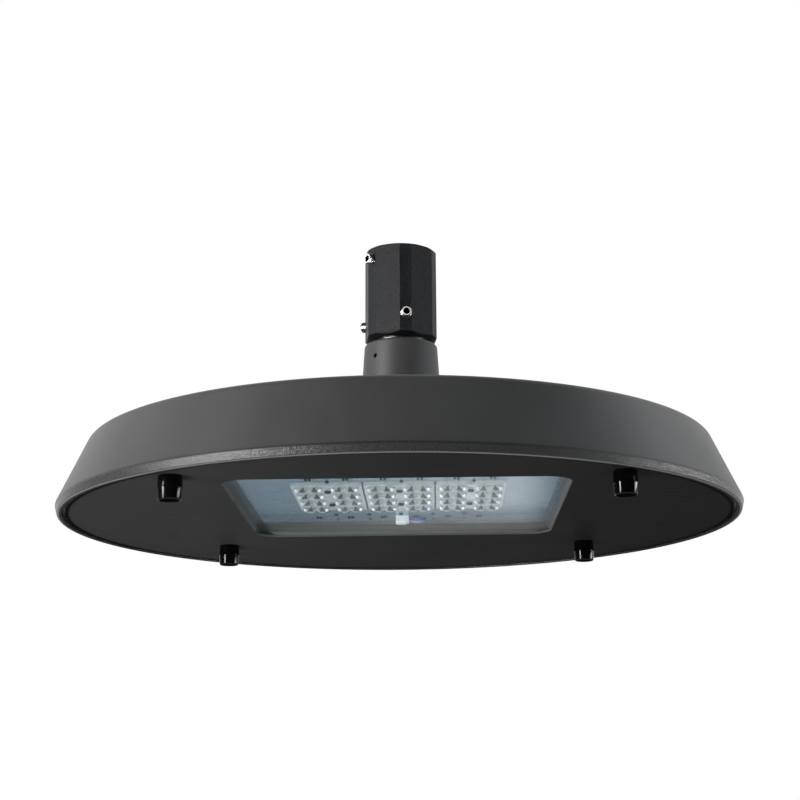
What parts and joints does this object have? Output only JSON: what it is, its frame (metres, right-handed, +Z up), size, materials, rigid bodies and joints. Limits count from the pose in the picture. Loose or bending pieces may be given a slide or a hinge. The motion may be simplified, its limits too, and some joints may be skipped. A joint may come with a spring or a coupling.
{
  "type": "led garden light",
  "caption": "Round dished lantern head with a flush lower cover, square lamp window, thumb knobs and a twelve-sided tube socket on top.",
  "frame": {"origin": "centre of the round housing, level with the lower ends of the four knobs that the head rests on when it is put down", "axes": "+Z up along the neck and the tube socket; -Y towards the front, where the lamp window lies; +X to the right seen from the front"},
  "size_m": [0.6025, 0.6026, 0.2718],
  "materials": {
    "housing_paint": "fine textured satin",
    "cover_black": "matte",
    "knob_black": "gloss",
    "seal_rubber": "matte",
    "bead_grey": "matte",
    "window_glass": "polished",
    "frame_black": "matte",
    "sink_aluminium": "pale anodised",
    "board_white": "satin",
    "chip_yellow": "matte",
    "lens_clear": "polished",
    "screw_black": "blackened",
    "screw_steel": "bright",
    "earth_brass": "satin",
    "connector_white": "satin",
    "wire_blue": "satin",
    "wire_red": "satin",
    "tray_steel": "zinc plated",
    "driver_case": "satin",
    "surge_case": "matte",
    "terminal_white": "matte",
    "gland_black": "matte",
    "zinc_steel": "zinc plated",
    "sleeve_black": "fine textured satin"
  },
  "bodies": {
    "root": {"housing": "housing_paint", "cover_plate": "cover_black", "cover_seal": "seal_rubber", "tray_spacers": "zinc_steel", "cover_knobs": "knob_black", "cover_studs": "screw_steel", "stud_seals": "seal_rubber", "window_glass": "window_glass", "glass_bead": "bead_grey", "frame_seal": "bead_grey", "window_frame": "frame_black", "frame_studs": "screw_steel", "frame_nuts": "screw_steel", "heat_sink": "sink_aluminium", "sink_screws": "screw_steel", "led_board": "board_white", "led_chips": "chip_yellow", "lens_plate_left": "lens_clear", "lens_plate_middle": "lens_clear", "lens_plate_right": "lens_clear", "lens_screws": "screw_black", "board_connector": "connector_white", "wire_blue": "wire_blue", "wire_red": "wire_red", "gear_tray": "tray_steel", "tray_screws": "screw_steel", "led_driver": "driver_case", "driver_screws": "screw_steel", "surge_protector": "surge_case", "terminal_block": "terminal_white", "earth_screw": "earth_brass", "cable_gland": "gland_black", "threaded_nipple": "zinc_steel", "neck_washer": "zinc_steel", "neck_nut": "zinc_steel", "sleeve_washer": "zinc_steel", "pole_sleeve": "sleeve_black", "clamp_screws_upper": "screw_steel", "clamp_screws_lower": "screw_steel"}
  },
  "joints": []
}
